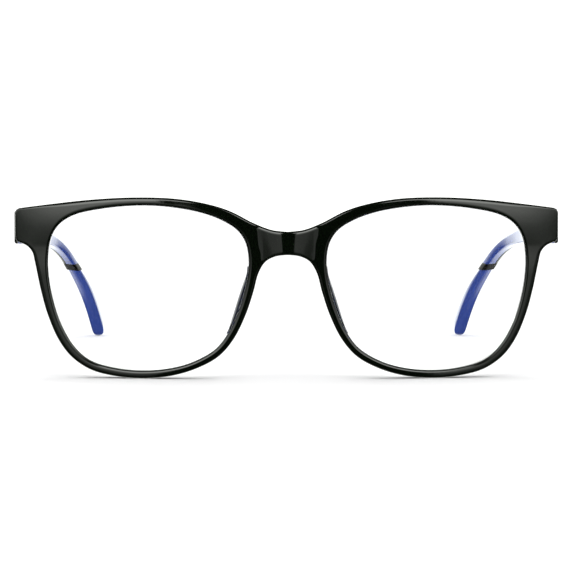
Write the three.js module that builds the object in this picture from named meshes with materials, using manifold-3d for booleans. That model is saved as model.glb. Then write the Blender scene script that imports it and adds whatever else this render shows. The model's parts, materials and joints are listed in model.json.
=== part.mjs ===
// Blue light glasses: a full-rim plastic spectacle frame with two clear lenses,
// standing open on the bottoms of its rims and on its two ear tips.
// Millimetres, +Z up. The wearer looks out along -Y, so the front faces -Y.
// The right side (+X) is modelled, and the left side is its mirror image.

import * as THREE from 'three';
import { mergeVertices } from 'three/addons/utils/BufferGeometryUtils.js';
import Module from 'manifold-3d';

const wasm = await Module();
wasm.setup();

// ---- driving dimensions ----

const FACE_RADIUS = 280;          // the front wraps around the face on this radius
const FRONT_THICKNESS = 4.0;
const EDGE_CHAMFER = 0.45;
const FRONT_CELL = 10;            // longest triangle edge on the bent front
const BRIDGE_CELL = 3.4;          // and around the bridge
const BRIDGE_REACH = 11;
const REST_FLAT = 0.15;           // how much of each rim bottom is worn flat

const BRIDGE_RADIUS = 16;         // the bridge is a rounded pad that stands proud
const BRIDGE_HALF_TOP = 8.3;
const BRIDGE_HALF_BOTTOM = 7.4;
const BRIDGE_TOP_Z = 37.4;
const BRIDGE_BOTTOM_Z = 31.5;

const OPENING_STEPS = 46;
const LENS_CENTRE = new THREE.Vector2(35.6, 23);
const LENS_THICKNESS = 1.8;
const LENS_DEPTH = 2.0;           // the lens edge's middle, behind the front face
const LENS_DOME = 1.3;            // how far the lens centre stands ahead of its edge
const LENS_FACE_GROW = 0.2;       // how far the lens faces reach under the rim
const LENS_EDGE_GROW = 0.75;      // how far the pointed lens edge reaches into the groove
const GROOVE_CLEARANCE = 0.1;

const PAD_GAP = 0.08;
const PAD_DEPTH = 5.2;
const PAD_LOW_Z = 11;
const PAD_HIGH_Z = 29;

const HINGE_X = 65.2;
const HINGE_Y = 13.6;
const HINGE_Z = 38.6;
const KNUCKLE_RADIUS = 1.25;
const BORE_RADIUS = 0.62;
const LEAF_HALF_HEIGHT = 2.6;
const MIDDLE_HALF_HEIGHT = 0.8;
const KNUCKLE_GAP = 0.1;
const LEAF_THICKNESS = 0.9;
const LEAF_GAP = 0.08;
const SCREW_RADIUS = 0.55;
const SCREW_HEAD_RADIUS = 1.05;
const SCREW_HEAD_HEIGHT = 0.5;
const RIVET_RADIUS = 0.45;
const RIVET_HEAD_RADIUS = 0.75;
const RIVET_HEAD_HEIGHT = 0.3;
const RIVET_LENGTH = 2.2;
const RIVET_CLEARANCE = 0.06;

const BUTT_GAP = 0.2;             // between the end piece and the open temple
const COVER_THICKNESS = 0.9;
const LAYER_GAP = 0.06;
const RING_START = 104;
const RING_END = 107;
const RING_GAP = 0.15;
const LEAN_UP = 1.8;              // how far the ring runs back along the temple, for each mm up
const LEAN_OUT = 0.5;             // and forward, for each mm out
const LEAN_REACH = 9;
const CORE_ROUND = 1.1;
const TIP_ROUND = 1.25;
const TEMPLE_END = 143;
const WIRE_START = 92;
const WIRE_END = 122;
const WIRE_RADIUS = 0.55;
const WIRE_CLEARANCE = 0.07;

// Stations along the temple, from the butt to the tip: how far along, the inner
// face's distance from the middle, the slope down in degrees, height and thickness.
const TEMPLE_STATIONS = [
  { at: 0, inner: 66.6, slope: 2.6, height: 9.4, thick: 3.6 },
  { at: 25, inner: 67.3, slope: 3.8, height: 7.0, thick: 3.5 },
  { at: 60, inner: 67.2, slope: 6.0, height: 4.9, thick: 3.3 },
  { at: 82, inner: 64.9, slope: 10.2, height: 3.3, thick: 3.1 },
  { at: 100, inner: 61.1, slope: 27.2, height: 3.1, thick: 3.1 },
  { at: 120, inner: 57.0, slope: 30.85, height: 4.1, thick: 3.6 },
  { at: 143, inner: 53.4, slope: 48.8, height: 6.2, thick: 3.6 },
];

// ---- materials ----

const glossBlack = new THREE.MeshStandardMaterial({ color: 0x0b0c0b, roughness: 0.12, metalness: 0 });
const blue = new THREE.MeshStandardMaterial({ color: 0x3a4a92, roughness: 0.2, metalness: 0 });
const lensClear = new THREE.MeshStandardMaterial({
  color: 0xf4f7ff,
  roughness: 0.02,
  metalness: 0,
  transparent: true,
  opacity: 0.15,
});
const steel = new THREE.MeshStandardMaterial({ color: 0xb9bcc0, roughness: 0.3, metalness: 1 });

// ---- solids and meshes ----

// A three.js geometry as a manifold solid.
function toSolid(geometry) {
  const bare = geometry.index ? geometry.toNonIndexed() : geometry.clone();
  bare.deleteAttribute('normal');
  bare.deleteAttribute('uv');
  const merged = mergeVertices(bare, 1e-4);
  const mesh = new wasm.Mesh({
    numProp: 3,
    vertProperties: new Float32Array(merged.attributes.position.array),
    triVerts: new Uint32Array(merged.index.array),
  });
  return new wasm.Manifold(mesh);
}

// A manifold solid as a three.js geometry.
function toGeometry(solid) {
  const mesh = solid.getMesh();
  const geometry = new THREE.BufferGeometry();
  const points = new Float32Array(mesh.numVert * 3);
  for (let i = 0; i < mesh.numVert; i += 1) {
    for (let k = 0; k < 3; k += 1) {
      points[3 * i + k] = mesh.vertProperties[mesh.numProp * i + k];
    }
  }
  geometry.setAttribute('position', new THREE.BufferAttribute(points, 3));
  geometry.setIndex(new THREE.BufferAttribute(new Uint32Array(mesh.triVerts), 1));
  geometry.computeVertexNormals();
  return geometry;
}

function cut(geometry, ...cutters) {
  return toGeometry(cutters.reduce((solid, cutter) => solid.subtract(toSolid(cutter)), toSolid(geometry)));
}

function join(first, ...others) {
  return toGeometry(others.reduce((solid, other) => solid.add(toSolid(other)), toSolid(first)));
}

// A closed skin over a row of loops that all have the same number of points.
function loft(loops) {
  const count = loops[0].length;
  const points = [];
  const index = [];
  for (const loop of loops) {
    for (const p of loop) points.push(p.x, p.y, p.z);
  }
  for (let i = 0; i + 1 < loops.length; i += 1) {
    for (let j = 0; j < count; j += 1) {
      const a = i * count + j;
      const b = i * count + (j + 1) % count;
      index.push(a, b, b + count, a, b + count, a + count);
    }
  }
  for (const [row, flip] of [[0, true], [loops.length - 1, false]]) {
    const centre = loops[row].reduce((sum, p) => sum.add(p), new THREE.Vector3()).divideScalar(count);
    const hub = points.length / 3;
    points.push(centre.x, centre.y, centre.z);
    for (let j = 0; j < count; j += 1) {
      const a = row * count + j;
      const b = row * count + (j + 1) % count;
      if (flip) index.push(hub, b, a);
      else index.push(hub, a, b);
    }
  }
  const geometry = new THREE.BufferGeometry();
  geometry.setAttribute('position', new THREE.Float32BufferAttribute(points, 3));
  geometry.setIndex(index);
  return volume(geometry) > 0 ? geometry : turnInsideOut(geometry);
}

function volume(geometry) {
  const position = geometry.attributes.position;
  const index = geometry.index;
  const corners = [new THREE.Vector3(), new THREE.Vector3(), new THREE.Vector3()];
  let sum = 0;
  for (let i = 0; i < index.count; i += 3) {
    corners.forEach((corner, k) => corner.fromBufferAttribute(position, index.getX(i + k)));
    sum += corners[0].dot(corners[1].clone().cross(corners[2]));
  }
  return sum / 6;
}

function turnInsideOut(geometry) {
  const index = geometry.index;
  for (let i = 0; i < index.count; i += 3) {
    const first = index.getX(i);
    index.setX(i, index.getX(i + 2));
    index.setX(i + 2, first);
  }
  return geometry;
}

function mirrored(geometry) {
  const source = geometry.index ? geometry.clone() : mergeVertices(geometry);
  source.scale(-1, 1, 1);
  const other = turnInsideOut(source);
  other.deleteAttribute('normal');
  other.computeVertexNormals();
  return other;
}

// Every triangle cut in two across its longest edge, again and again, until no edge is
// longer than its limit. The limit depends on the edge's middle alone, so that the two
// triangles that share an edge always agree.
function splitLongEdges(geometry, limitAt) {
  const position = (geometry.index ? geometry.toNonIndexed() : geometry).attributes.position;
  const corners = Array.from({ length: position.count }, (_, i) => new THREE.Vector3().fromBufferAttribute(position, i));
  const waiting = [];
  for (let i = 0; i < corners.length; i += 3) waiting.push(corners.slice(i, i + 3));
  const done = [];
  while (waiting.length > 0) {
    const triangle = waiting.pop();
    let longest = 0;
    let cutAt = -1;
    let cutPoint = null;
    for (let k = 0; k < 3; k += 1) {
      const a = triangle[k];
      const b = triangle[(k + 1) % 3];
      const middle = a.clone().add(b).multiplyScalar(0.5);
      const length = a.distanceTo(b);
      if (length > limitAt(middle) && length > longest) {
        longest = length;
        cutAt = k;
        cutPoint = middle;
      }
    }
    if (cutAt < 0) {
      done.push(...triangle);
    } else {
      const [a, b, c] = [triangle[cutAt], triangle[(cutAt + 1) % 3], triangle[(cutAt + 2) % 3]];
      waiting.push([a, cutPoint, c], [cutPoint, b, c]);
    }
  }
  const split = new THREE.BufferGeometry();
  split.setFromPoints(done);
  return split;
}

// ---- outlines, drawn in the front view with X to the right and Z up ----

function curvePoints(points, steps) {
  const curve = new THREE.CatmullRomCurve3(points.map(([x, z]) => new THREE.Vector3(x, z, 0)), false, 'centripetal');
  return curve.getSpacedPoints(steps).map((p) => new THREE.Vector2(p.x, p.y));
}

// The right half of the front's outside edge, from the middle of the brow over the
// end piece, round the rim and up to the middle of the nose arch.
function frontHalfOutline() {
  const brow = curvePoints([
    [0, 37.4], [4, 37.85], [8.5, 39.5], [14.5, 42.6], [20, 44.4], [28.5, 45.8], [39, 46.2], [50, 45.6],
    [61.5, 44.3], [68.4, 43.4],
  ], 26);
  const rim = curvePoints([
    [68.9, 34.6], [66.6, 33.75], [65.1, 32.2], [64.4, 29.5], [62.9, 22.4], [61.2, 16.3], [58.5, 10.1],
    [55.2, 5.6], [50.5, 2.3], [44.5, 0.6], [37, -REST_FLAT], [29.5, 0.6], [23, 2.4], [17.5, 5.5],
    [13.8, 10.1], [10.7, 16.3], [8.65, 22.4], [7.4, 27], [5.6, 29.8], [3, 31.1], [0, 31.5],
  ], 64);
  const corner = [new THREE.Vector2(69.3, 43.1), new THREE.Vector2(69.7, 42.3)];
  const foot = [new THREE.Vector2(69.65, 36), new THREE.Vector2(69.5, 35)];
  return [...brow, ...corner, ...foot, ...rim];
}

function frontOutline() {
  const half = frontHalfOutline();
  const other = half.slice(1, -1).reverse().map((p) => new THREE.Vector2(-p.x, p.y));
  return [...half, ...other];
}

// The right lens opening.
function openingOutline() {
  const points = [
    [38, 44.15], [30.5, 43.8], [22.3, 42.4], [16.5, 40.3], [12.7, 37.8], [10.7, 34.7], [9.95, 30.5],
    [10.2, 26], [11, 21.2], [12.3, 16.6], [14.3, 12.2], [18, 7.6], [23.9, 4], [30, 2.2], [37, 1.65],
    [44.1, 2.4], [50.4, 4.5], [54.6, 7.9], [57.9, 13.4], [59.9, 19.4], [61, 25.8], [61.15, 31.2],
    [60.4, 36.1], [58.4, 39.5], [54.5, 41.8], [47, 43.4],
  ];
  const curve = new THREE.CatmullRomCurve3(points.map(([x, z]) => new THREE.Vector3(x, z, 0)), true, 'centripetal');
  return curve.getSpacedPoints(OPENING_STEPS).slice(0, OPENING_STEPS).map((p) => new THREE.Vector2(p.x, p.y));
}

// The outline moved outwards along its own normals.
function grown(outline, distance) {
  return outline.map((p, i) => {
    const before = outline[(i + outline.length - 1) % outline.length];
    const after = outline[(i + 1) % outline.length];
    const along = after.clone().sub(before).normalize();
    const out = new THREE.Vector2(along.y, -along.x);
    if (out.dot(p.clone().sub(LENS_CENTRE)) < 0) out.negate();
    return p.clone().addScaledVector(out, distance);
  });
}

// ---- the bent front ----

function wrapDepth(x) {
  return FACE_RADIUS - Math.sqrt(FACE_RADIUS * FACE_RADIUS - x * x);
}

function bridgeBulge(x, z) {
  const rise = THREE.MathUtils.clamp((z - BRIDGE_BOTTOM_Z) / (BRIDGE_TOP_Z - BRIDGE_BOTTOM_Z), -0.5, 1.2);
  const half = THREE.MathUtils.lerp(BRIDGE_HALF_BOTTOM, BRIDGE_HALF_TOP, rise);
  if (Math.abs(x) >= half) return 0;
  return Math.sqrt(BRIDGE_RADIUS ** 2 - x * x) - Math.sqrt(BRIDGE_RADIUS ** 2 - half * half);
}

function backFace(x) {
  return wrapDepth(x) + FRONT_THICKNESS;
}

function frontFrame(lensCutters, rivetCutters) {
  const shape = new THREE.Shape(frontOutline());
  const opening = openingOutline();
  shape.holes.push(new THREE.Path(opening));
  shape.holes.push(new THREE.Path(opening.map((p) => new THREE.Vector2(-p.x, p.y)).reverse()));
  const flat = new THREE.ExtrudeGeometry(shape, {
    depth: FRONT_THICKNESS - 2 * EDGE_CHAMFER,
    bevelEnabled: true,
    bevelThickness: EDGE_CHAMFER,
    bevelSize: EDGE_CHAMFER,
    bevelOffset: -EDGE_CHAMFER,
    bevelSegments: 1,
  });
  flat.rotateX(Math.PI / 2);
  flat.translate(0, FRONT_THICKNESS - EDGE_CHAMFER, 0);
  const fine = splitLongEdges(flat, (middle) => (Math.abs(middle.x) < BRIDGE_REACH ? BRIDGE_CELL : FRONT_CELL));
  const position = fine.attributes.position;
  for (let i = 0; i < position.count; i += 1) {
    const x = position.getX(i);
    const depth = position.getY(i);
    // The back of the bridge follows half of the bulge, so that the bridge is thicker.
    const share = THREE.MathUtils.lerp(1, 0.5, depth / FRONT_THICKNESS);
    position.setY(i, depth + wrapDepth(x) - share * bridgeBulge(x, position.getZ(i)));
  }
  const floor = new THREE.BoxGeometry(160, 60, 4);
  floor.translate(0, 10, -2);
  return cut(fine, floor, ...lensCutters, ...rivetCutters);
}

// A lens or, grown by a clearance, the cutter of its groove.
function lensSolid(clearance) {
  const outline = openingOutline();
  const half = LENS_THICKNESS / 2 + clearance;
  const rings = [
    { scale: 0.4, depth: -half },
    { scale: 0.75, depth: -half },
    { grow: LENS_FACE_GROW + clearance, depth: -half },
    { grow: LENS_EDGE_GROW + clearance, depth: 0 },
    { grow: LENS_FACE_GROW + clearance, depth: half },
    { scale: 0.75, depth: half },
    { scale: 0.4, depth: half },
  ];
  return loft(rings.map(({ scale = 1, grow = 0, depth }) => grown(outline, grow).map((edge) => {
    const p = edge.clone().sub(LENS_CENTRE).multiplyScalar(scale).add(LENS_CENTRE);
    const dome = LENS_DOME * (1 - scale * scale);
    return new THREE.Vector3(p.x, wrapDepth(p.x) + LENS_DEPTH + depth - dome, p.y);
  })));
}

// The saddle pad behind the nose side of the rim. Each level is a rounded fin that
// leans away from the nose as it reaches back.
function nosePad() {
  const levels = 9;
  const loops = [];
  for (let i = 0; i < levels; i += 1) {
    const t = i / (levels - 1);
    const z = THREE.MathUtils.lerp(PAD_LOW_Z, PAD_HIGH_Z, t);
    const noseEdge = 13.25 - 0.33 * (z - PAD_LOW_Z) + 0.45 * t * (1 - t);
    const reach = PAD_DEPTH * (0.25 + 0.75 * Math.sin(Math.PI * THREE.MathUtils.clamp(t, 0.04, 0.96)) ** 0.7);
    const width = 1.5 + 0.5 * Math.sin(Math.PI * t);
    const lean = 0.38 * reach;
    const base = backFace(noseEdge) + PAD_GAP;
    const section = [
      [0.35, 0], [0.35 + width, 0.12], [0.45 + width + 0.6 * lean, 0.55 * reach],
      [0.4 + width * 0.8 + lean, 0.88 * reach], [0.35 + width * 0.5 + lean, reach],
      [0.3 + width * 0.2 + lean, 0.92 * reach], [0.25 + 0.5 * lean, 0.55 * reach], [0.25 + 0.15 * lean, 0.2 * reach],
    ];
    loops.push(section.map(([x, y]) => new THREE.Vector3(noseEdge + x, base + y, z)));
  }
  return loft(loops);
}

// ---- the hinge ----

function cylinderUp(radius, lowZ, highZ, sides = 16) {
  const geometry = new THREE.CylinderGeometry(radius, radius, highZ - lowZ, sides);
  geometry.rotateX(Math.PI / 2);
  geometry.translate(HINGE_X, HINGE_Y, (lowZ + highZ) / 2);
  return geometry;
}

// A plate drawn in plan, X and Y, and raised between two heights.
function planPlate(points, lowZ, highZ) {
  const shape = new THREE.Shape(points.map(([x, y]) => new THREE.Vector2(x, y)));
  const geometry = new THREE.ExtrudeGeometry(shape, { depth: highZ - lowZ, bevelEnabled: false });
  geometry.translate(0, 0, lowZ);
  return geometry;
}

function frontLeaf(rivetCutters) {
  const low = HINGE_Z - LEAF_HALF_HEIGHT;
  const high = HINGE_Z + LEAF_HALF_HEIGHT;
  const inner = 61.3;
  const outer = HINGE_X;
  const plate = planPlate([
    [inner, backFace(inner) + LEAF_GAP],
    [outer, backFace(outer) + LEAF_GAP],
    [outer, backFace(outer) + LEAF_GAP + LEAF_THICKNESS],
    [inner, backFace(inner) + LEAF_GAP + LEAF_THICKNESS],
  ], low, high);
  const slot = MIDDLE_HALF_HEIGHT + KNUCKLE_GAP;
  const barrel = cylinderUp(KNUCKLE_RADIUS, low, high);
  const room = cylinderUp(KNUCKLE_RADIUS + 0.15, HINGE_Z - slot, HINGE_Z + slot);
  const bore = cylinderUp(BORE_RADIUS, low - 1, high + 1, 12);
  return cut(join(plate, barrel), room, bore, ...rivetCutters);
}

function templeLeaf(rivetCutters) {
  const low = HINGE_Z - LEAF_HALF_HEIGHT;
  const high = HINGE_Z + LEAF_HALF_HEIGHT;
  const startY = HINGE_Y + KNUCKLE_RADIUS + 0.25;
  const endY = startY + 11;
  const inner = (y) => templeFrame(y - TEMPLE_START_Y).point.x - LEAF_GAP;
  const plate = planPlate([
    [inner(startY) - LEAF_THICKNESS, startY],
    [inner(startY), startY],
    [inner(endY), endY],
    [inner(endY) - LEAF_THICKNESS, endY],
  ], low - 0.5, high - 0.1);
  const tongue = planPlate([
    [HINGE_X - 0.4, HINGE_Y + 0.6],
    [HINGE_X + 1.2, HINGE_Y],
    [inner(startY) - 0.02, startY + 0.3],
    [HINGE_X - 0.1, startY + 0.3],
  ], HINGE_Z - MIDDLE_HALF_HEIGHT, HINGE_Z + MIDDLE_HALF_HEIGHT);
  const knuckle = cylinderUp(KNUCKLE_RADIUS, HINGE_Z - MIDDLE_HALF_HEIGHT, HINGE_Z + MIDDLE_HALF_HEIGHT);
  const bore = cylinderUp(BORE_RADIUS, HINGE_Z - 2, HINGE_Z + 2, 12);
  return cut(join(plate, tongue, knuckle), bore, ...rivetCutters);
}

// A slotted screw that stands in the hinge from above.
function hingeScrew() {
  const low = HINGE_Z - LEAF_HALF_HEIGHT - 0.1;
  const top = HINGE_Z + LEAF_HALF_HEIGHT + 0.05;
  const shank = cylinderUp(SCREW_RADIUS, low, top + 0.1, 12);
  const head = cylinderUp(SCREW_HEAD_RADIUS, top, top + SCREW_HEAD_HEIGHT, 16);
  const slot = new THREE.BoxGeometry(2 * SCREW_HEAD_RADIUS + 1, 0.3, 0.5);
  slot.translate(HINGE_X, HINGE_Y, top + SCREW_HEAD_HEIGHT);
  return cut(join(shank, head), slot);
}

// A rivet, or the hole for it. Its head sits at the origin and its shank runs along
// the direction given.
function rivet(origin, direction, clearance, withHead) {
  const parts = [];
  const over = withHead ? 0 : 1;
  const shank = new THREE.CylinderGeometry(
    RIVET_RADIUS + clearance,
    RIVET_RADIUS + clearance,
    RIVET_LENGTH + over + clearance,
    12,
  );
  shank.translate(0, (RIVET_LENGTH - over + clearance) / 2, 0);
  parts.push(shank);
  if (withHead) {
    const profile = [
      [0, 0.02], [RIVET_HEAD_RADIUS, 0.02], [RIVET_HEAD_RADIUS * 0.92, -0.5 * RIVET_HEAD_HEIGHT],
      [RIVET_HEAD_RADIUS * 0.55, -RIVET_HEAD_HEIGHT], [0, -RIVET_HEAD_HEIGHT * 1.1],
    ];
    const head = new THREE.LatheGeometry(profile.map(([r, h]) => new THREE.Vector2(r, h)).reverse(), 12);
    parts.push(head);
  }
  const geometry = withHead ? join(...parts) : parts[0];
  const turn = new THREE.Quaternion().setFromUnitVectors(new THREE.Vector3(0, 1, 0), direction);
  geometry.applyQuaternion(turn);
  geometry.translate(origin.x, origin.y, origin.z);
  return geometry;
}

// ---- the temple ----

const TEMPLE_START_Y = backFace(TEMPLE_STATIONS[0].inner) + BUTT_GAP;

// A smooth value between the stations.
function stationValue(at, key) {
  const list = TEMPLE_STATIONS;
  let i = 0;
  while (i < list.length - 2 && at > list[i + 1].at) i += 1;
  const slopeAt = (k) => {
    const a = list[Math.max(k - 1, 0)];
    const b = list[Math.min(k + 1, list.length - 1)];
    return (b[key] - a[key]) / (b.at - a.at);
  };
  const span = list[i + 1].at - list[i].at;
  const t = (at - list[i].at) / span;
  const h00 = 2 * t ** 3 - 3 * t ** 2 + 1;
  const h10 = t ** 3 - 2 * t ** 2 + t;
  const h01 = -2 * t ** 3 + 3 * t ** 2;
  const h11 = t ** 3 - t ** 2;
  return h00 * list[i][key] + h10 * span * slopeAt(i) + h01 * list[i + 1][key] + h11 * span * slopeAt(i + 1);
}

// The temple's path: a point on the middle of its inner face, with the directions
// of its thickness (out) and of its height (up).
function templeFrame(at) {
  const steps = Math.max(1, Math.ceil(at));
  const step = at / steps;
  let y = TEMPLE_START_Y;
  let z = HINGE_Z - 0.3;
  for (let i = 0; i < steps; i += 1) {
    const slope = THREE.MathUtils.degToRad(stationValue((i + 0.5) * step, 'slope'));
    y += Math.cos(slope) * step;
    z -= Math.sin(slope) * step;
  }
  const slope = THREE.MathUtils.degToRad(stationValue(at, 'slope'));
  const turnIn = (stationValue(at + 0.5, 'inner') - stationValue(at - 0.5, 'inner'));
  const up = new THREE.Vector3(0, Math.sin(slope), Math.cos(slope));
  const out = new THREE.Vector3(1, -turnIn * Math.cos(slope), turnIn * Math.sin(slope)).normalize();
  return { point: new THREE.Vector3(stationValue(at, 'inner'), y, z), out, up };
}

// A point on the rounded corner k of a layer's section, j half-steps round it.
function cornerPoint(at, k, j, from, to, radii, shrink) {
  const { point, out, up } = templeFrame(at);
  const half = (stationValue(at, 'height') / 2) * shrink;
  const middle = stationValue(at, 'thick') / 2;
  const low = middle + (from(at) - middle) * shrink;
  const high = middle + (to(at) - middle) * shrink;
  const onInner = k === 0 || k === 3;
  const below = k < 2;
  const r = radii[onInner ? 0 : 1] * shrink;
  const angle = Math.PI * (1 + k / 2) + (j * Math.PI) / 4;
  const u = (onInner ? low + r : high - r) + r * Math.cos(angle);
  const v = (below ? r - half : half - r) + r * Math.sin(angle);
  return { position: point.addScaledVector(out, u).addScaledVector(up, v), u: u - middle, v };
}

// A rectangle with rounded corners between two thicknesses. The sections lean over
// round the ring, so that the ring crosses the temple at a slant.
function layerSection(at, from, to, innerRadius, outerRadius, shrink = 1) {
  const radii = [innerRadius, outerRadius];
  const lean = Math.exp(-(((at - (RING_START + RING_END) / 2) / LEAN_REACH) ** 2));
  const loop = [];
  for (let k = 0; k < 4; k += 1) {
    for (let j = 0; j <= 2; j += 1) {
      const { u, v } = cornerPoint(at, k, j, from, to, radii, shrink);
      const shifted = at + lean * (LEAN_UP * v - LEAN_OUT * u);
      loop.push(cornerPoint(shifted, k, j, from, to, radii, shrink).position);
    }
  }
  return loop;
}

const innerFace = () => 0;
const outerFace = (at) => stationValue(at, 'thick');
const coverStart = (at) => outerFace(at) - COVER_THICKNESS;
const coreEnd = (at) => coverStart(at) - LAYER_GAP;

// The first section lies along the back of the end piece.
function slantToEndPiece(loop) {
  return loop.map((p) => new THREE.Vector3(p.x, backFace(p.x) + BUTT_GAP, p.z));
}

function alongTemple(from, to, longest) {
  const count = Math.ceil((to - from) / longest);
  return Array.from({ length: count + 1 }, (_, i) => from + ((to - from) * i) / count);
}

const ARM_STOPS = [0, 2.5, ...alongTemple(8, 72, 8), ...alongTemple(76, RING_START - RING_GAP, 3.7)];

function templeCore(cutters) {
  const loops = ARM_STOPS.map((at) => {
    const loop = layerSection(at, innerFace, coreEnd, CORE_ROUND, 0.15);
    return at === 0 ? slantToEndPiece(loop) : loop;
  });
  return cut(loft(loops), ...cutters);
}

function templeCover() {
  return loft(ARM_STOPS.map((at) => {
    const loop = layerSection(at, coverStart, outerFace, 0.12, 0.6);
    return at === 0 ? slantToEndPiece(loop) : loop;
  }));
}

function templeRing(cutter) {
  const stops = alongTemple(RING_START, RING_END, 1.5);
  return cut(loft(stops.map((at) => layerSection(at, innerFace, outerFace, CORE_ROUND, 0.6))), cutter);
}

function earTip(cutter) {
  const body = alongTemple(RING_END + RING_GAP, TEMPLE_END - 3.2, 3.6).map((at) => [at, 1]);
  const end = [[TEMPLE_END - 1.7, 0.9], [TEMPLE_END - 0.6, 0.68], [TEMPLE_END, 0.36]];
  const loops = [...body, ...end].map(([at, shrink]) => (
    layerSection(at, innerFace, outerFace, TIP_ROUND, TIP_ROUND, shrink)
  ));
  return cut(loft(loops), cutter);
}

// The steel core wire that joins the arm, the ring and the ear tip.
function coreWire(from, to, radius) {
  const sides = 10;
  return loft(alongTemple(from, to, 3.5).map((at) => {
    const { point, out, up } = templeFrame(at);
    const middle = coreEnd(at) / 2;
    return Array.from({ length: sides }, (_, i) => {
      const angle = (2 * Math.PI * i) / sides;
      return point.clone()
        .addScaledVector(out, middle + radius * Math.cos(angle))
        .addScaledVector(up, radius * Math.sin(angle));
    });
  }));
}

// ---- rivets in place ----

function frontRivetSeat(z) {
  const x = 62.5;
  const slope = (backFace(x + 0.5) - backFace(x - 0.5));
  const into = new THREE.Vector3(slope, -1, 0).normalize();
  return { origin: new THREE.Vector3(x, backFace(x) + LEAF_GAP + LEAF_THICKNESS + 0.1, z), into };
}

function templeRivetSeat(at) {
  const { point } = templeFrame(at);
  const into = new THREE.Vector3(1, 0, 0);
  return { origin: new THREE.Vector3(point.x - LEAF_GAP - LEAF_THICKNESS - 0.1, point.y, HINGE_Z - 0.3), into };
}

const frontRivets = [['upper', HINGE_Z + 1.6], ['lower', HINGE_Z - 1.6]]
  .map(([name, z]) => ({ name, seat: frontRivetSeat(z) }));
const templeRivets = [['front', 6.5], ['rear', 11.5]]
  .map(([name, at]) => ({ name, seat: templeRivetSeat(at) }));
const frontRivetHoles = frontRivets.map(({ seat }) => rivet(seat.origin, seat.into, RIVET_CLEARANCE, false));
const templeRivetHoles = templeRivets.map(({ seat }) => rivet(seat.origin, seat.into, RIVET_CLEARANCE, false));

// ---- the assembly ----

const glasses = new THREE.Group();

function add(name, geometry, material) {
  const mesh = new THREE.Mesh(geometry, material);
  mesh.name = name;
  glasses.add(mesh);
}

// The piece on the right, and its mirror image on the left.
function addPair(name, geometry, material) {
  add(name.replace('SIDE', 'right'), geometry, material);
  add(name.replace('SIDE', 'left'), mirrored(geometry), material);
}

const groove = lensSolid(GROOVE_CLEARANCE);
add(
  'front_frame',
  frontFrame([groove, mirrored(groove)], [...frontRivetHoles, ...frontRivetHoles.map(mirrored)]),
  glossBlack,
);
addPair('lens_SIDE', lensSolid(0), lensClear);
addPair('nose_pad_SIDE', nosePad(), glossBlack);
addPair('hinge_front_leaf_SIDE', frontLeaf(frontRivetHoles), steel);
addPair('hinge_screw_SIDE', hingeScrew(), steel);
frontRivets.forEach(({ name, seat }) => {
  addPair(`rivet_front_SIDE_${name}`, rivet(seat.origin, seat.into, 0, true), steel);
});

const wireHole = coreWire(WIRE_START - WIRE_CLEARANCE, WIRE_END + WIRE_CLEARANCE, WIRE_RADIUS + WIRE_CLEARANCE);
addPair('temple_core_SIDE', templeCore([wireHole, ...templeRivetHoles]), blue);
addPair('temple_cover_SIDE', templeCover(), glossBlack);
addPair('temple_ring_SIDE', templeRing(wireHole), glossBlack);
addPair('ear_tip_SIDE', earTip(wireHole), blue);
addPair('temple_wire_SIDE', coreWire(WIRE_START, WIRE_END, WIRE_RADIUS), steel);
addPair('hinge_temple_leaf_SIDE', templeLeaf(templeRivetHoles), steel);
templeRivets.forEach(({ name, seat }) => {
  addPair(`rivet_temple_SIDE_${name}`, rivet(seat.origin, seat.into, 0, true), steel);
});

// The origin is under the middle of the whole pair, on the surface it stands on.
const box = new THREE.Box3().setFromObject(glasses);
glasses.position.set(0, -(box.min.y + box.max.y) / 2, 0);

export default glasses;
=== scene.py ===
# Blue light glasses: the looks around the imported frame.
# Shapes are worked out in millimetres, in the front's own frame: X across, Y back from
# the bridge, Z up from the table. point() turns them into the row frame, in metres.
import json
import math

import bpy
import numpy as np
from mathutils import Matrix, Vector
from mathutils.geometry import delaunay_2d_cdt


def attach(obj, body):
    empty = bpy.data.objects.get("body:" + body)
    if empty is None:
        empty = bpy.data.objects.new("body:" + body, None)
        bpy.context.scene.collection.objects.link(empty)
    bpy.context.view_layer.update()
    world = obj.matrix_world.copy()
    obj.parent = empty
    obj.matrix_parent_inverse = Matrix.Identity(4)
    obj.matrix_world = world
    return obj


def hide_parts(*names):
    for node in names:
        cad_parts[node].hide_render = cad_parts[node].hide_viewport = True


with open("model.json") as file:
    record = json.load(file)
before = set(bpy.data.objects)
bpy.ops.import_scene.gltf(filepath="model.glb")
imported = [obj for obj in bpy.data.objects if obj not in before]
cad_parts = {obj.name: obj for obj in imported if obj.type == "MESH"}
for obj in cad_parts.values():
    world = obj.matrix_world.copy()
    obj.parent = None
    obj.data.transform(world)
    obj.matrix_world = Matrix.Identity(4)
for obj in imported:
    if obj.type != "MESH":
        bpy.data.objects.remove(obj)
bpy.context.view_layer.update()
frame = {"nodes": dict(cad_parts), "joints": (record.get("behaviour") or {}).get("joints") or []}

MM = 0.001
HINGE = np.array([65.2, 13.6, 38.6])    # the right hinge's pin
ROW_SHIFT_Y = frame["joints"][0]["pos_m"][1] / MM - HINGE[1]

# ---- the front ----
FACE_RADIUS = 280.0     # the front wraps round the face on this radius
FRONT_THICKNESS = 4.0
FACE_GRID = 0.9         # spacing of the points on the front and along its outlines

BRIDGE_BULGE = 1.55     # how far the bridge stands proud
BRIDGE_HALF_TOP = 7.6
BRIDGE_HALF_BOTTOM = 6.7
BRIDGE_TOP_Z = 37.4
BRIDGE_BOTTOM_Z = 31.5
BRIDGE_RIDGE = 0.45     # how gently the ridge turns, over the half width
CREASE_SOFTNESS = 0.12

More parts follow.
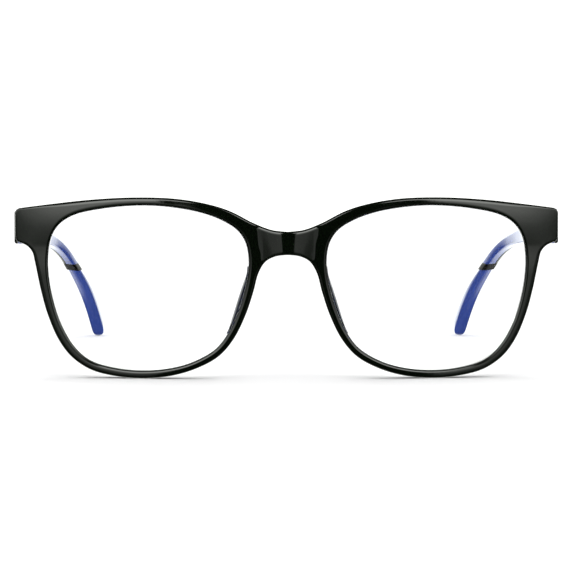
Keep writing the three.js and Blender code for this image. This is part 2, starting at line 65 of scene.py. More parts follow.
CROWN_Z = 38.5          # the face leans back above this height and forward below it
CROWN_REACH = 4.5
CROWN_FADE = 8.0        # below that reach the lean fades out over this height
CROWN_SLOPE = 0.09
CROWN_START = (14, 30)  # where the lean begins, from the middle outwards
CROWN_END = (59, 70)    # and where it eases off on the end pieces
CROWN_EASE = 0.75

ROUND_POWER = 3.0       # the edge runs into the face as a superellipse
ROUND_STEPS = 9
ROUND_DEPTH = 0.8       # the rounded front edge, down the wall
ROUND_BRIDGE = 1.05     # and across the face, at the bridge, round the lenses and on the end pieces
ROUND_RIM = 1.15
ROUND_END = 0.6
BRIDGE_TO_RIM = (8, 12)     # the X where one width runs into the next
RIM_TO_END = (56, 64)
END_PIECE_Z = (30, 35)
ROUND_SHARE = 0.47      # how much of the bar between two outlines one rounding may take
BACK_ROUND = 0.5
BACK_STEPS = 3

BROW = [(0, 37.6), (4, 38.05), (8.5, 39.7), (14.5, 42.75), (20, 44.5), (28.5, 45.9), (39, 46.2),
        (50, 45.6), (61.5, 44.3), (68.4, 43.4)]
CORNERS = [(69.3, 43.1), (69.7, 42.3), (69.65, 36), (69.5, 35)]
RIM = [(68.9, 34.6), (66.8, 33.75), (65.35, 32.2), (64.65, 29.5), (63.15, 22.4), (61.45, 16.3),
       (58.75, 10), (55.4, 5.5), (50.6, 2.25), (44.5, 0.6), (37, 0.0), (29.5, 0.75), (23.2, 2.65),
       (17.65, 5.7), (13.8, 10.1), (10.7, 16.3), (8.65, 22.4), (7.4, 27), (5.6, 29.95), (3, 31.3), (0, 31.7)]
OPENING = [(38, 44.1), (30.5, 43.8), (22.3, 42.4), (16.5, 40.3), (12.7, 37.8), (10.7, 34.7), (9.95, 30.5),
           (10.25, 26), (11.3, 21.2), (12.8, 16.7), (14.8, 12.35), (18.2, 7.85), (24.1, 4.4), (30.1, 2.7),
           (37, 2.1), (44.1, 2.7), (50.4, 4.55), (54.45, 8), (57.75, 13.45), (59.8, 19.4), (61, 25.8),
           (61.15, 31.2), (60.3, 36), (58.2, 39.3), (54.4, 41.65), (47, 43.3)]

# ---- the lens ----
LENS_CENTRE = np.array([35.6, 23.0])
LENS_THICKNESS = 1.8
LENS_DEPTH = 2.0        # its edge's middle, behind the front face
LENS_DOME = 1.3         # how far its centre stands ahead of its edge
LENS_GROW = 0.25        # how far its edge reaches into the rim
LENS_STEP = 1.3
LENS_RINGS = [0.02, 0.2, 0.4, 0.6, 0.75, 0.88, 0.96, 1.0]

# ---- the nose pads ----
PAD_Z = 12.0            # the height from which the pad's edge is measured
PAD_BELOW = 0.6         # it begins this far below
PAD_HEIGHT = 17.2
PAD_EDGE = (15.05, -0.56, 0.0155)   # the X of its foot at PAD_Z, with the slope and the bend above
PAD_REACH = 5.1         # how far back it stands, and the share left at its ends
PAD_END_REACH = 0.12
PAD_PROUD = 1.45        # how far it stands out towards the lens, less what the rim hides
PAD_HIDDEN = 0.4
PAD_GAP = 0.08
PAD_ROWS = 48
PAD_POINTS = 36

# ---- the temple: along, inner face, slope, height, thickness ----
STATIONS = np.array([
    (0, 66.6, 2.6, 8.5, 3.6),
    (25, 67.3, 3.8, 7.0, 3.5),
    (60, 67.2, 6.0, 4.9, 3.3),
    (82, 64.9, 10.2, 3.3, 3.1),
    (100, 61.1, 27.2, 3.1, 3.1),
    (120, 57.0, 30.85, 4.1, 3.6),
    (143, 53.4, 48.8, 6.2, 3.6),
], float)
TEMPLE_DROP = 0.3       # its middle line starts this far below the hinge's middle
TEMPLE_END = 143.0
BUTT_GAP = 0.2          # between the end piece and the open temple
COVER_THICKNESS = 0.9
LAYER_GAP = 0.06
RING_START, RING_END, RING_GAP = 103.3, 107.6, 0.03
LEAN_UP, LEAN_OUT, LEAN_REACH = 1.8, 0.5, 9.0   # the ring's slant: back for each mm up, forward for each out
CORE_ROUND, COVER_ROUND, TIP_ROUND = 0.8, 0.6, 1.5
LAYER_ROUND = 0.12      # where core and cover meet
CORNER_STEPS = 6
CUT_EDGE = 0.05         # rows this close to a cut end keep its edge crisp
TIP_DOME = 3.2          # the length of the tip's rounded end

# ---- light and camera ----
EYE = (-12.5, -686.8, 65.0)
TARGET = (0.07, 0.0, 23.3)
FOCAL_LENGTH = 169.5
FLOOR_HALF = 6.0        # metres
SUN_STRENGTH = 1.7
SUN_ANGLE = 110         # wide, so its shadows are soft
SUN_TILT = -8
WHITE = 1.3             # what the camera sees behind the glasses
AMBIENT = 0.8           # what lights plain surfaces
TINT = (0.975, 1.0, 0.95)   # the studio's colour in gloss
# Light in gloss by elevation and by azimuth, in degrees; azimuth 0 is the side the front faces.
SIDE_LIGHT = [(-90, 0.1), (-30, 0.05), (-17, 0.15), (-12, 0.36), (-5, 0.58), (-2, 0.78), (3, 1.5), (8, 2.4),
              (20, 6.0), (41, 6.5), (51, 0.4), (90, 0.1)]
SIDE_REACH = [(-180, 0.08), (-105, 0.08), (-70, 0.3), (-33.5, 0.45), (-31, 1.0),
              (33, 1.0), (35.5, 0.45), (70, 0.3), (105, 0.08), (180, 0.08)]
REAR_LIGHT = [(-90, 0.15), (-64, 0.2), (-50, 2.3), (4, 2.3), (10, 0.1), (90, 0.1)]
REAR_FADE = (149, 162)  # the side light gives way to the rear light here
GAP_LEFT = (-15.8, -14.7)   # the edges of the dark gap ahead of the front
GAP_RIGHT = (18.6, 20.6)
GAP_LIGHT = 0.02
GAP_TAPER = 0.6         # how much narrower the gap is high up
GAP_TAPER_HEIGHT = (28, 40)


# ---------------------------------------------------------------- geometry helpers

def point(p):
    return (p[0] * MM, (p[1] + ROW_SHIFT_Y) * MM, p[2] * MM)


def spline(points, closed=False, fine=24):
    """A centripetal Catmull-Rom curve through the points, finely sampled."""
    p = np.array(points, float)
    if closed:
        p = np.vstack([p[-1], p, p[0], p[1]])
    else:
        p = np.vstack([2 * p[0] - p[1], p, 2 * p[-1] - p[-2]])
    out = []
    for i in range(1, len(p) - 2):
        a, b, c, d = p[i - 1:i + 3]
        t0 = 0.0
        t1 = t0 + np.linalg.norm(b - a) ** 0.5
        t2 = t1 + np.linalg.norm(c - b) ** 0.5
        t3 = t2 + np.linalg.norm(d - c) ** 0.5
        for t in np.linspace(t1, t2, fine, endpoint=False):
            a1 = (t1 - t) / (t1 - t0) * a + (t - t0) / (t1 - t0) * b
            a2 = (t2 - t) / (t2 - t1) * b + (t - t1) / (t2 - t1) * c
            a3 = (t3 - t) / (t3 - t2) * c + (t - t2) / (t3 - t2) * d
            b1 = (t2 - t) / (t2 - t0) * a1 + (t - t0) / (t2 - t0) * a2
            b2 = (t3 - t) / (t3 - t1) * a2 + (t - t1) / (t3 - t1) * a3
            out.append((t2 - t) / (t2 - t1) * b1 + (t - t1) / (t2 - t1) * b2)
    if not closed:
        out.append(p[-2])
    return np.array(out)


def evenly(points, step, closed=False):
    """Points at even steps along a finely sampled line."""
    p = np.vstack([points, points[:1]]) if closed else points
    along = np.concatenate([[0], np.cumsum(np.linalg.norm(np.diff(p, axis=0), axis=1))])
    count = max(4, round(along[-1] / step))
    at = np.linspace(0, along[-1], count, endpoint=False) if closed else np.linspace(0, along[-1], count + 1)
    return np.column_stack([np.interp(at, along, p[:, k]) for k in range(p.shape[1])])


def smoothstep(value, low, high):
    t = np.clip((value - low) / (high - low), 0, 1)
    return t * t * (3 - 2 * t)


def unit(vectors):
    return vectors / np.linalg.norm(vectors, axis=1, keepdims=True)


def loop_normals(loop, solid_inside):
    """Unit normals of a closed 2D loop that point out of the material."""
    along = unit(np.roll(loop, -1, 0) - np.roll(loop, 1, 0))
    n = np.column_stack([along[:, 1], -along[:, 0]])
    area = 0.5 * np.sum(loop[:, 0] * np.roll(loop[:, 1], -1) - np.roll(loop[:, 0], -1) * loop[:, 1])
    if area < 0:
        n = -n
    return n if solid_inside else -n


def smooth_round(values, passes):
    """Values along a closed loop, each averaged with its neighbours a few times."""
    for _ in range(passes):
        values = (np.roll(values, 1, 0) + 2 * values + np.roll(values, -1, 0)) / 4
    return values


def inside(points, loop):
    """Which points lie in a closed loop."""
    x, z = points[:, 0][:, None], points[:, 1][:, None]
    a, b = loop, np.roll(loop, -1, 0)
    crosses = (a[:, 1] > z) != (b[:, 1] > z)
    at = a[:, 0] + (z - a[:, 1]) / np.where(b[:, 1] == a[:, 1], 1e-9, b[:, 1] - a[:, 1]) * (b[:, 0] - a[:, 0])
    return (crosses & (x < at)).sum(1) % 2 == 1


def nearest(points, loop):
    """Each point's distance from the loop's nearest point."""
    return np.sqrt(((points[:, None, :] - loop[None, :, :]) ** 2).sum(2)).min(1)


def mesh_piece(name, points, faces, material, body, replaced, normals=None, edge=None):
    """A visible piece that rides on a body and stands in for the CAD nodes it replaces."""
    mesh = bpy.data.meshes.new(name)
    mesh.from_pydata([point(p) for p in points], [], faces)
    if edge is not None:
        mesh.attributes.new("edge", "FLOAT", "POINT").data.foreach_set("value", np.asarray(edge, np.float32))
    mesh.validate()
    mesh.shade_smooth()
    if normals is not None:
        mesh.normals_split_custom_set_from_vertices([tuple(n) for n in normals])
    mesh.materials.append(material)
    piece = bpy.data.objects.new(name, mesh)
    bpy.context.scene.collection.objects.link(piece)
    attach(piece, body)
    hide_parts(*replaced)
    return piece


def volume_sign(points, faces):
    """Positive where the faces of a closed skin look outwards."""
    p = np.asarray(points)
    total = 0.0
    for f in faces:
        for k in range(1, len(f) - 1):
            total += np.dot(p[f[0]], np.cross(p[f[k]], p[f[k + 1]]))
    return total


def loft(name, loops, material, body, replaced, side):
    """A closed skin over rows of points, mirrored for the left side."""
    count = len(loops[0])
    points = np.array([p for loop in loops for p in loop])
    points[:, 0] *= side
    faces = []
    for i in range(len(loops) - 1):
        for j in range(count):
            a, b = i * count + j, i * count + (j + 1) % count
            faces.append((a, b, b + count, a + count))
    faces.append(tuple(range(count))[::-1])
    last = (len(loops) - 1) * count
    faces.append(tuple(range(last, last + count)))
    if volume_sign(points, faces) < 0:
        faces = [f[::-1] for f in faces]
    return mesh_piece(name, points, faces, material, body, replaced)


# ---------------------------------------------------------------- materials

def shader(name, slot):
    material = bpy.data.materials.new(name)
    material.use_nodes = True
    material["slot"] = slot
    return material, material.node_tree, material.node_tree.nodes["Principled BSDF"]


def node(tree, kind, **values):
    """A new node. Each value goes to the input of that name, or else to the property."""
    made = tree.nodes.new(kind)
    for key, value in values.items():
        if key in made.inputs:
            made.inputs[key].default_value = value
        else:
            setattr(made, key, value)
    return made


def maths(tree, operation, *values):
    made = node(tree, "ShaderNodeMath", operation=operation)
    for k, value in enumerate(values):
        if isinstance(value, (int, float)):
            made.inputs[k].default_value = value
        else:
            tree.links.new(value, made.inputs[k])
    return made.outputs["Value"]


def noise(tree, scale, detail=3.0, stretch=(1, 1, 1)):
    coords = node(tree, "ShaderNodeTexCoord")
    mapping = node(tree, "ShaderNodeMapping", Scale=stretch)
    texture = node(tree, "ShaderNodeTexNoise", Scale=scale, Detail=detail)
    tree.links.new(coords.outputs["Object"], mapping.inputs["Vector"])
    tree.links.new(mapping.outputs["Vector"], texture.inputs["Vector"])
    return texture.outputs["Fac"]


def ramp(tree, source, stops):
    made = node(tree, "ShaderNodeValToRGB")
    elements = made.color_ramp.elements
    elements[0].position, elements[0].color = stops[0][0], (*stops[0][1], 1)
    elements[1].position, elements[1].color = stops[-1][0], (*stops[-1][1], 1)
    for at, colour in stops[1:-1]:
        elements.new(at).color = (*colour, 1)
    tree.links.new(source, made.inputs["Fac"])
    return made.outputs["Color"]


def remap(tree, source, start, end, low=0.0, high=1.0):
    """Start to end of the source becomes low to high, and it stays there beyond both."""
    made = node(tree, "ShaderNodeMapRange")
    made.inputs["From Min"].default_value = start
    made.inputs["From Max"].default_value = end
    made.inputs["To Min"].default_value = low
    made.inputs["To Max"].default_value = high
    tree.links.new(source, made.inputs["Value"])
    return made.outputs["Result"]


def spread(tree, source, low, high):
    """Noise, whose values lie mostly from 0.3 to 0.7, spread from low to high."""
    return remap(tree, source, 0.3, 0.7, low, high)


def bump(tree, source, strength, distance):
    made = node(tree, "ShaderNodeBump", Strength=strength, Distance=distance)
    tree.links.new(source, made.inputs["Height"])
    return made.outputs["Normal"]


def gloss_black():
    """The front's and the temple covers' black, a little rougher on the rounded edges."""
    material, tree, bsdf = shader("gloss_black", "gloss_black")
    clouds = noise(tree, 60, 4)
    colour = ramp(tree, clouds, [(0.3, (0.0007, 0.0020, 0.0005)), (0.7, (0.0012, 0.0028, 0.0009))])
    tree.links.new(colour, bsdf.inputs["Base Color"])
    worn = node(tree, "ShaderNodeAttribute", attribute_name="edge")
    rough = spread(tree, noise(tree, 240, 5), 0.035, 0.085)
    rough = maths(tree, "MULTIPLY_ADD", worn.outputs["Fac"], 0.05, rough)
    tree.links.new(rough, bsdf.inputs["Roughness"])
    tree.links.new(bump(tree, noise(tree, 900, 2), 0.02, 0.0002), bsdf.inputs["Normal"])
    bsdf.inputs["IOR"].default_value = 1.5
    return material


def satin(name, colour, ior):
    """The dark plastic of the rings and nose pads, which shines less than the front."""
    material, _, bsdf = shader(name, "gloss_black")
    bsdf.inputs["Base Color"].default_value = (*colour, 1)
    bsdf.inputs["Roughness"].default_value = 0.3
    bsdf.inputs["IOR"].default_value = ior
    return material


def blue_plastic():
    material, tree, bsdf = shader("blue_plastic", "blue_plastic")
    clouds = noise(tree, 45, 3, (1, 0.4, 1))
    colour = ramp(tree, clouds, [(0.3, (0.032, 0.060, 0.260)), (0.7, (0.044, 0.076, 0.315))])
    tree.links.new(colour, bsdf.inputs["Base Color"])
    tree.links.new(spread(tree, noise(tree, 300, 4), 0.06, 0.12), bsdf.inputs["Roughness"])
    tree.links.new(bump(tree, noise(tree, 700, 3), 0.05, 0.0002), bsdf.inputs["Normal"])
    bsdf.inputs["IOR"].default_value = 1.49
    return material


def lens_clear():
    """Clear and thin: a low IOR, so that the lens hardly bends the view of the temples."""
    material, tree, bsdf = shader("lens_clear", "lens")
    haze = noise(tree, 25, 3)
    colour = ramp(tree, haze, [(0.3, (0.985, 0.992, 1.0)), (0.7, (0.992, 0.996, 1.0))])
    tree.links.new(colour, bsdf.inputs["Base Color"])
    tree.links.new(spread(tree, noise(tree, 120, 4), 0.0, 0.012), bsdf.inputs["Roughness"])
    bsdf.inputs["IOR"].default_value = 1.08
    bsdf.inputs["Transmission Weight"].default_value = 1.0
    return material


def steel():
    """Brushed steel for the hinge leaves, screws and rivets."""
    material, tree, bsdf = shader("hinge_steel", "steel")
    grain = noise(tree, 900, 3, (1, 1, 0.15))
    colour = ramp(tree, grain, [(0.3, (0.50, 0.50, 0.51)), (0.7, (0.68, 0.68, 0.69))])
    tree.links.new(colour, bsdf.inputs["Base Color"])
    tree.links.new(spread(tree, grain, 0.2, 0.34), bsdf.inputs["Roughness"])
    tree.links.new(bump(tree, grain, 0.08, 0.0001), bsdf.inputs["Normal"])
    bsdf.inputs["Metallic"].default_value = 1.0
    return material


BLACK, BLUE, CLEAR, STEEL = gloss_black(), blue_plastic(), lens_clear(), steel()
RING_BLACK = satin("ring_black", (0.004, 0.004, 0.004), 1.12)
PAD_NAVY = satin("pad_navy", (0.006, 0.008, 0.019), 1.25)


# ---------------------------------------------------------------- the front

def wrap(x):
    """How far the front has curved back at a distance from its middle."""
    return FACE_RADIUS - np.sqrt(FACE_RADIUS ** 2 - x * x)


def bulge(x, z):
    """How far the bridge stands proud: a soft ridge with flatter flanks, narrower towards the nose."""
    rise = np.clip((z - BRIDGE_BOTTOM_Z) / (BRIDGE_TOP_Z - BRIDGE_BOTTOM_Z), -0.5, 1.2)
    half = BRIDGE_HALF_BOTTOM + (BRIDGE_HALF_TOP - BRIDGE_HALF_BOTTOM) * rise
    turn = BRIDGE_RIDGE * half
    flank = BRIDGE_BULGE / (np.hypot(half, turn) - turn)
    arc = BRIDGE_BULGE - flank * (np.hypot(x, turn) - turn)
    return (arc + np.sqrt(arc ** 2 + CREASE_SOFTNESS ** 2)) / 2


def crown(x, z):
    """The face leans back above the hinges' height and forward below it, least at the bridge and the ends."""
    above = np.clip(z - CROWN_Z, -CROWN_REACH, CROWN_REACH)
    rest = np.clip(z - CROWN_Z - CROWN_REACH, 0, None)
    rise = CROWN_SLOPE * (above ** 2 / (2 * CROWN_REACH) + rest)
    share = smoothstep(np.abs(x), *CROWN_START) * (1 - CROWN_EASE * smoothstep(np.abs(x), *CROWN_END))
    return rise * share * smoothstep(z, CROWN_Z - CROWN_REACH - CROWN_FADE, CROWN_Z - CROWN_REACH)


def front_y(x, z, depth):
    """The Y of a point of the front at a depth behind its face."""
    share = 1 - 0.5 * depth / FRONT_THICKNESS
    return depth + wrap(x) - share * bulge(x, z) + share * crown(x, z)


def back_face(x):
    return wrap(x) + FRONT_THICKNESS


def face_normal(x, z, depth, back=False):
    step = 0.05
    dx = (front_y(x + step, z, depth) - front_y(x - step, z, depth)) / (2 * step)
    dz = (front_y(x, z + step, depth) - front_y(x, z - step, depth)) / (2 * step)
    n = unit(np.column_stack([dx, -np.ones_like(dx), dz]))
    return -n if back else n


class Skin:
    """The front's points with their normals and edge marks, and the faces between them."""

    def __init__(self):
        self.points, self.normals, self.edges, self.faces = [], [], [], []

    def add(self, xz, depth, normals, edge):
        """A row of points at a depth behind the face. Returns their numbers."""
        start = len(self.points)
        y = front_y(xz[:, 0], xz[:, 1], depth)
        self.points.extend(np.column_stack([xz[:, 0], y, xz[:, 1]]))
        self.normals.extend(normals)
        self.edges.extend([edge] * len(xz))
        return list(range(start, start + len(xz)))

    def flat(self, numbers):
        """The X and Z of the points with these numbers."""
        return np.array([(self.points[i][0], self.points[i][2]) for i in numbers])

    def turned_faces(self):
        """Every face, turned to agree with its own points' normals."""
        p, n = np.array(self.points), np.array(self.normals)
        turned = []
        for f in self.faces:
            a, b, c = p[f[0]], p[f[1]], p[f[2]]
            agrees = np.dot(np.cross(b - a, c - a), n[list(f)].sum(0)) > 0
            turned.append(f if agrees else f[::-1])
        return turned


def front_loops():
    """The front's outline and its right and left lens openings."""
    half = np.vstack([
        spline(BROW),
        spline([BROW[-1], CORNERS[0], CORNERS[1]], fine=6)[1:],
        spline([CORNERS[1], CORNERS[2], CORNERS[3], RIM[0]], fine=10)[1:-1],
        spline(RIM),
    ])
    other = half[1:-1][::-1] * (-1, 1)
    outer = evenly(np.vstack([half, other]), FACE_GRID, closed=True)
    hole = evenly(spline(OPENING, closed=True), FACE_GRID, closed=True)
    return outer, hole, hole[::-1] * (-1, 1)


def round_width(loop, others):
    """How far the rounded front edge reaches across the face, along one outline."""
    across = np.abs(loop[:, 0])
    width = ROUND_BRIDGE + (ROUND_RIM - ROUND_BRIDGE) * smoothstep(across, *BRIDGE_TO_RIM)
    narrower = (ROUND_END - ROUND_RIM) * smoothstep(across, *RIM_TO_END)
    width = width + narrower * smoothstep(loop[:, 1], *END_PIECE_Z)
    return smooth_round(np.minimum(width, ROUND_SHARE * nearest(loop, others)), 12)


def edge_rings(skin, loop, others, solid_inside):
    """The rounded edge along one outline, from the face over the wall to the back."""
    out = unit(smooth_round(loop_normals(loop, solid_inside), 1))
    width = round_width(loop, others)
    wall = np.column_stack([out[:, 0], np.zeros(len(loop)), out[:, 1]])
    rings = []
    for i in range(ROUND_STEPS + 1):
        angle = math.pi / 2 * (1 - i / ROUND_STEPS)
        inward = 1 - math.cos(angle) ** (2 / ROUND_POWER)
        xz = loop - out * (width * inward)[:, None]
        depth = ROUND_DEPTH * (1 - math.sin(angle))
        steep = ROUND_POWER * (1 - inward) ** (ROUND_POWER - 1) / width
        ahead = face_normal(xz[:, 0], xz[:, 1], depth) * (2 * math.sin(angle) / ROUND_DEPTH)
        mark = math.cos(angle) if 0 < i < ROUND_STEPS else 0.0
        rings.append(skin.add(xz, depth, unit(wall * steep[:, None] + ahead), mark))
    back_width = np.minimum(width, BACK_ROUND)
    for i in range(BACK_STEPS + 1):
        angle = math.pi / 2 * i / BACK_STEPS
        xz = loop - out * (back_width * (1 - math.cos(angle)))[:, None]
        depth = FRONT_THICKNESS - BACK_ROUND * (1 - math.sin(angle))
        behind = face_normal(xz[:, 0], xz[:, 1], depth, back=True) * math.sin(angle)
        rings.append(skin.add(xz, depth, unit(wall * math.cos(angle) + behind), 0.0))
    return rings


def side_sheet(skin, rings, depth, back):
    """One side of the front: triangles inside its outline and round both openings."""
    outline, *holes = [skin.flat(ring) for ring in rings]

    def on_plastic(points):
        return inside(points, outline) & ~inside(points, holes[0]) & ~inside(points, holes[1])

    low, high = outline.min(0), outline.max(0)
    gx, gz = np.meshgrid(np.arange(low[0], high[0], FACE_GRID), np.arange(low[1], high[1], FACE_GRID))
    grid = np.column_stack([gx.ravel(), gz.ravel()])
    grid = grid[on_plastic(grid)]
    grid = grid[np.min([nearest(grid, loop) for loop in (outline, *holes)], axis=0) > 0.5 * FACE_GRID]
    new = skin.add(grid, depth, face_normal(grid[:, 0], grid[:, 1], depth, back), 0.0)
    numbers = [i for ring in rings for i in ring] + new
    borders = []
    for ring in rings:
        start, count = len(borders), len(ring)
        borders += [(start + j, start + (j + 1) % count) for j in range(count)]
    net = delaunay_2d_cdt([Vector(p) for p in skin.flat(numbers)], borders, [], 0, 1e-6)
    corners, triangles, origins = np.array([tuple(v) for v in net[0]]), net[2], net[3]
    centres = np.array([corners[list(t)].mean(0) for t in triangles])
    for triangle, kept in zip(triangles, on_plastic(centres)):
        if kept:
            skin.faces.append(tuple(numbers[origins[v][0]] for v in triangle))


def front_piece():
    skin = Skin()
    loops = front_loops()
    face_rings, back_rings = [], []
    for k, loop in enumerate(loops):
        others = np.vstack([other for m, other in enumerate(loops) if m != k])
        rings = edge_rings(skin, loop, others, solid_inside=k == 0)
        for a, b in zip(rings[:-1], rings[1:]):
            for j in range(len(loop)):
                after = (j + 1) % len(loop)
                skin.faces.append((a[j], a[after], b[after], b[j]))
        face_rings.append(rings[0])
        back_rings.append(rings[-1])
    side_sheet(skin, face_rings, 0.0, back=False)
    side_sheet(skin, back_rings, FRONT_THICKNESS, back=True)
    mesh_piece("front", skin.points, skin.turned_faces(), BLACK, "front", ["front_frame"],
               skin.normals, skin.edges)


def lens_piece(name, side):
    """A domed disc in the opening, with a thinner edge that reaches into the rim."""
    outline = evenly(spline(OPENING, closed=True), LENS_STEP, closed=True)
    out = loop_normals(outline, True)
    half = LENS_THICKNESS / 2
    rings = [(scale, 0.0, half) for scale in LENS_RINGS]
    rings += [(1.0, 0.6 * LENS_GROW, half), (1.0, LENS_GROW, half * 0.9)]
    loops = []
    for scale, grow, depth in [(s, g, -d) for s, g, d in rings] + rings[::-1]:
        xz = LENS_CENTRE + (outline + out * grow - LENS_CENTRE) * scale
        y = wrap(xz[:, 0]) + LENS_DEPTH + depth - LENS_DOME * (1 - scale ** 2)
        loops.append(np.column_stack([xz[:, 0], y, xz[:, 1]]))
    loft(name, loops, CLEAR, "front", [name], side)


def nose_pad_piece(name, side):
    """A fin behind the inner rim, a little proud of it on the lens side."""
    loops = []
    for t in np.linspace(0, 1, PAD_ROWS):
        above = PAD_HEIGHT * t - PAD_BELOW
        edge_x = PAD_EDGE[0] + PAD_EDGE[1] * above + PAD_EDGE[2] * above ** 2
        swell = math.sin(math.pi * (0.015 + 0.97 * t)) ** (0.6 + 0.4 * t)
        reach = PAD_REACH * (PAD_END_REACH + (1 - PAD_END_REACH) * swell)
        proud = PAD_PROUD * swell - PAD_HIDDEN
        section = [
            (0.9, 0), (-0.2, 0), (-0.8 * proud, 0.35 * reach), (-proud, 0.75 * reach),
            (0.45 - proud, reach), (1.0 - proud, 0.8 * reach), (0.95 - 0.5 * proud, 0.4 * reach),
        ]
        line = evenly(spline(section, closed=True, fine=12), 0.05, closed=True)
        line = line[np.linspace(0, len(line), PAD_POINTS, endpoint=False).astype(int)]
        y = back_face(edge_x) + PAD_GAP + np.maximum(line[:, 1], 0)
        loops.append(np.column_stack([edge_x - line[:, 0], y, np.full(PAD_POINTS, PAD_Z + above)]))
    loft(name, loops, PAD_NAVY, "front", [name], side)


# ---------------------------------------------------------------- the temples

def station(at, column):
    """A smooth value between the stations, at a distance along the temple."""
    s = STATIONS
    i = 0
    while i < len(s) - 2 and at > s[i + 1, 0]:
        i += 1

    def slope(k):
        a, b = s[max(k - 1, 0)], s[min(k + 1, len(s) - 1)]
        return (b[column] - a[column]) / (b[0] - a[0])

    span = s[i + 1, 0] - s[i, 0]
    t = (at - s[i, 0]) / span
    return ((2 * t ** 3 - 3 * t ** 2 + 1) * s[i, column] + (t ** 3 - 2 * t ** 2 + t) * span * slope(i)
            + (3 * t ** 2 - 2 * t ** 3) * s[i + 1, column] + (t ** 3 - t ** 2) * span * slope(i + 1))


def temple_frame(at):
    """A point on the temple's inner face at a distance along it, with the ways out and up from there."""
    steps = max(1, math.ceil(at))
    step = at / steps
    y, z = back_face(STATIONS[0, 1]) + BUTT_GAP, HINGE[2] - TEMPLE_DROP
    for i in range(steps):
        slope = math.radians(station((i + 0.5) * step, 2))
        y += math.cos(slope) * step
        z -= math.sin(slope) * step
    slope = math.radians(station(at, 2))
    turn = station(at + 0.5, 1) - station(at - 0.5, 1)
    up = np.array([0, math.sin(slope), math.cos(slope)])
    out = np.array([1, -turn * math.cos(slope), turn * math.sin(slope)])
    return np.array([station(at, 1), y, z]), out / np.linalg.norm(out), up


def layer_section(at, layer, radii, shrink=1.0):
    """A rounded rectangle between two thicknesses. Near the ring the sections lean, so the ring slants."""
    lean = math.exp(-((at - (RING_START + RING_END) / 2) / LEAN_REACH) ** 2)

    def corner_point(at, k, j):
        origin, out, up = temple_frame(at)
        half = station(at, 3) / 2 * shrink
        middle = station(at, 4) / 2
        low, high = (middle + (value - middle) * shrink for value in layer(station(at, 4)))
        inner, below = k in (0, 3), k < 2
        r = radii[0 if inner else 1] * shrink
        angle = math.pi * (1 + k / 2) + math.pi / 2 * j / CORNER_STEPS
        u = (low + r if inner else high - r) + r * math.cos(angle)
        v = (r - half if below else half - r) + r * math.sin(angle)
        return origin + out * u + up * v, u - middle, v

    loop = []
    for k in range(4):
        for j in range(CORNER_STEPS + 1):
            _, u, v = corner_point(at, k, j)
            loop.append(corner_point(at + lean * (LEAN_UP * v - LEAN_OUT * u), k, j)[0])
    return np.array(loop)


def whole(thick):
    return 0, thick


def core_layer(thick):
    return 0, thick - COVER_THICKNESS - LAYER_GAP


def cover_layer(thick):
    return thick - COVER_THICKNESS, thick


def arm_stops():
    """Places along the arm, from the butt to the ring."""
    end = RING_START - RING_GAP
    bend = np.linspace(72, end - CUT_EDGE, 24)
    return [0, 1.2, 2.5, 5, *np.arange(8, 72, 3.0), *bend, end]


def tip_stops():
    """Places along the ear tip with the section's size at each, which shrinks to a domed end."""
    start, dome = RING_END + RING_GAP, TEMPLE_END - TIP_DOME
    stops = [(at, 1.0) for at in np.linspace(start, dome, 26)]
    stops.insert(1, (start + CUT_EDGE, 1.0))
    for angle in np.linspace(0.25, 1.57, 8):
        stops.append((dome + TIP_DOME * math.sin(angle), 0.3 + 0.7 * math.cos(angle) ** 0.8))
    return stops


def arm_piece(name, layer, radii, material, word, side):
    """One layer of the arm. Its butt end is parallel to the back of the end piece."""
    loops = [layer_section(at, layer, radii) for at in arm_stops()]
    loops[0][:, 1] = back_face(loops[0][:, 0]) + BUTT_GAP
    loft(f"arm_{name}_{word}", loops, material, "temple_" + word, [f"temple_{name}_{word}"], side)


def ring_piece(word, side):
    ends = (RING_START, RING_START + CUT_EDGE, RING_END - CUT_EDGE, RING_END)
    loops = [layer_section(at, whole, (CORE_ROUND, COVER_ROUND)) for at in ends]
    loft("arm_ring_" + word, loops, RING_BLACK, "temple_" + word, ["temple_ring_" + word], side)


def tip_piece(word, side):
    loops = [layer_section(at, whole, (TIP_ROUND, TIP_ROUND), shrink) for at, shrink in tip_stops()]
    tip = loft("tip_" + word, loops, BLUE, "temple_" + word, ["ear_tip_" + word], side)
    tip.visible_glossy = False
    tip.visible_shadow = False


def temple_pieces(word, side):
    arm_piece("core", core_layer, (CORE_ROUND, LAYER_ROUND), BLUE, word, side)
    arm_piece("cover", cover_layer, (LAYER_ROUND, COVER_ROUND), BLACK, word, side)
    ring_piece(word, side)
    tip_piece(word, side)


def steel_fittings():
    """The CAD nodes that no fine piece replaces are the hinges' steel parts."""
    for obj in frame["nodes"].values():
        if not obj.hide_render:
            obj.data.materials.clear()
            obj.data.materials.append(STEEL)


# ---------------------------------------------------------------- stage, light and camera

def stage_floor():
    mesh = bpy.data.meshes.new("floor")
    corners = [(x * FLOOR_HALF, y * FLOOR_HALF, 0) for x, y in ((-1, -1), (1, -1), (1, 1), (-1, 1))]
    mesh.from_pydata(corners, [], [(0, 1, 2, 3)])
    material, _, bsdf = shader("floor_white", "floor")
    bsdf.inputs["Base Color"].default_value = (0.9, 0.9, 0.9, 1)
    bsdf.inputs["Roughness"].default_value = 1.0
    bsdf.inputs["Specular IOR Level"].default_value = 0.0
    mesh.materials.append(material)
    floor = bpy.data.objects.new("floor", mesh)
    bpy.context.scene.collection.objects.link(floor)
    floor.visible_glossy = False


def curve(tree, source, points):
    """A value that follows straight lines between the points."""
    low, high, top = points[0][0], points[-1][0], max(v for _, v in points)
    along = maths(tree, "DIVIDE", maths(tree, "SUBTRACT", source, low), high - low)
    stops = [((at - low) / (high - low), [v / top] * 3) for at, v in points]
    return maths(tree, "MULTIPLY", ramp(tree, along, stops), top)


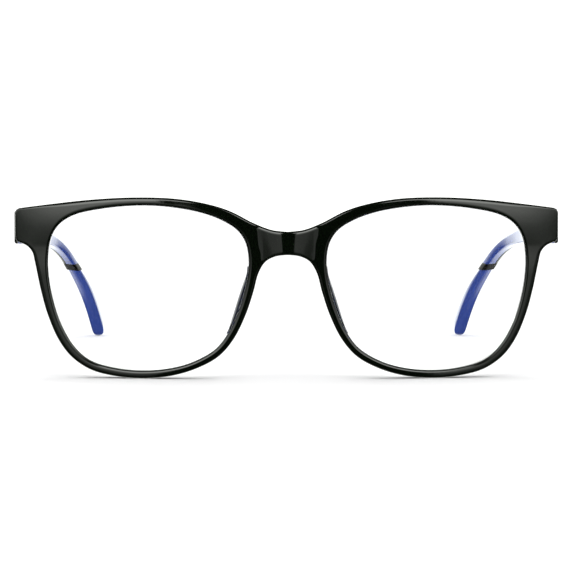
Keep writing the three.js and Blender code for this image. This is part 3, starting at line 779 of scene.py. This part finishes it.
def gloss_light(tree, direction):
    """What gloss sees: a bright band above, softer light at the sides and behind, and a dark gap ahead."""
    x, y, z = direction
    elevation = maths(tree, "MULTIPLY", maths(tree, "ARCSINE", z), 180 / math.pi)
    forward = maths(tree, "MULTIPLY", y, -1.0)
    azimuth = maths(tree, "MULTIPLY", maths(tree, "ARCTAN2", x, forward), 180 / math.pi)
    narrower = maths(tree, "MULTIPLY", GAP_TAPER, remap(tree, elevation, *GAP_TAPER_HEIGHT))
    across = maths(tree, "MULTIPLY", azimuth, maths(tree, "ADD", 1.0, narrower))
    lit = maths(tree, "MAXIMUM", remap(tree, across, *GAP_LEFT[::-1]), remap(tree, across, *GAP_RIGHT))
    lit = maths(tree, "MULTIPLY", lit, curve(tree, azimuth, SIDE_REACH))
    ahead = maths(tree, "ADD", GAP_LIGHT, maths(tree, "MULTIPLY", curve(tree, elevation, SIDE_LIGHT), lit))
    behind = remap(tree, maths(tree, "ABSOLUTE", azimuth), *REAR_FADE)
    return maths(tree, "ADD", maths(tree, "MULTIPLY", curve(tree, elevation, REAR_LIGHT), behind),
                 maths(tree, "MULTIPLY", ahead, maths(tree, "SUBTRACT", 1.0, behind)))


def studio():
    """White all round for the camera and through the lenses, plain light on surfaces, a studio in gloss."""
    world = bpy.data.worlds.new("studio")
    bpy.context.scene.world = world
    world.use_nodes = True
    tree = world.node_tree
    tree.nodes.clear()
    link = tree.links.new
    coords = node(tree, "ShaderNodeTexCoord")
    split = node(tree, "ShaderNodeSeparateXYZ")
    link(coords.outputs["Generated"], split.inputs["Vector"])
    path = node(tree, "ShaderNodeLightPath")
    plain = maths(tree, "MULTIPLY", WHITE - AMBIENT, path.outputs["Is Camera Ray"])
    plain = maths(tree, "ADD", AMBIENT, plain)
    through = maths(tree, "MULTIPLY", WHITE, path.outputs["Is Transmission Ray"])
    plain = maths(tree, "MAXIMUM", plain, through)
    glossy = path.outputs["Is Glossy Ray"]
    strength = maths(tree, "ADD", maths(tree, "MULTIPLY", gloss_light(tree, split.outputs), glossy),
                     maths(tree, "MULTIPLY", plain, maths(tree, "SUBTRACT", 1.0, glossy)))
    background = node(tree, "ShaderNodeBackground")
    link(ramp(tree, glossy, [(0, (1, 1, 1)), (1, TINT)]), background.inputs["Color"])
    link(strength, background.inputs["Strength"])
    output = node(tree, "ShaderNodeOutputWorld")
    link(background.outputs["Background"], output.inputs["Surface"])


def overhead_light():
    data = bpy.data.lights.new("overhead", "SUN")
    data.energy = SUN_STRENGTH
    data.angle = math.radians(SUN_ANGLE)
    light = bpy.data.objects.new("overhead", data)
    light.rotation_euler = (math.radians(SUN_TILT), 0, 0)
    bpy.context.scene.collection.objects.link(light)
    light.visible_glossy = False


def camera():
    data = bpy.data.cameras.new("camera")
    data.sensor_width = 36.0
    data.lens = FOCAL_LENGTH
    data.clip_end = 50
    cam = bpy.data.objects.new("camera", data)
    bpy.context.scene.collection.objects.link(cam)
    eye = Vector(point(EYE))
    target = Vector(point(TARGET))
    cam.location = eye
    cam.rotation_euler = (target - eye).to_track_quat("-Z", "Y").to_euler()
    bpy.context.scene.camera = cam


bpy.context.scene.view_settings.view_transform = "Standard"
front_piece()
for side, word in ((1, "right"), (-1, "left")):
    lens_piece("lens_" + word, side)
    nose_pad_piece("nose_pad_" + word, side)
    temple_pieces(word, side)
steel_fittings()
stage_floor()
studio()
overhead_light()
camera()
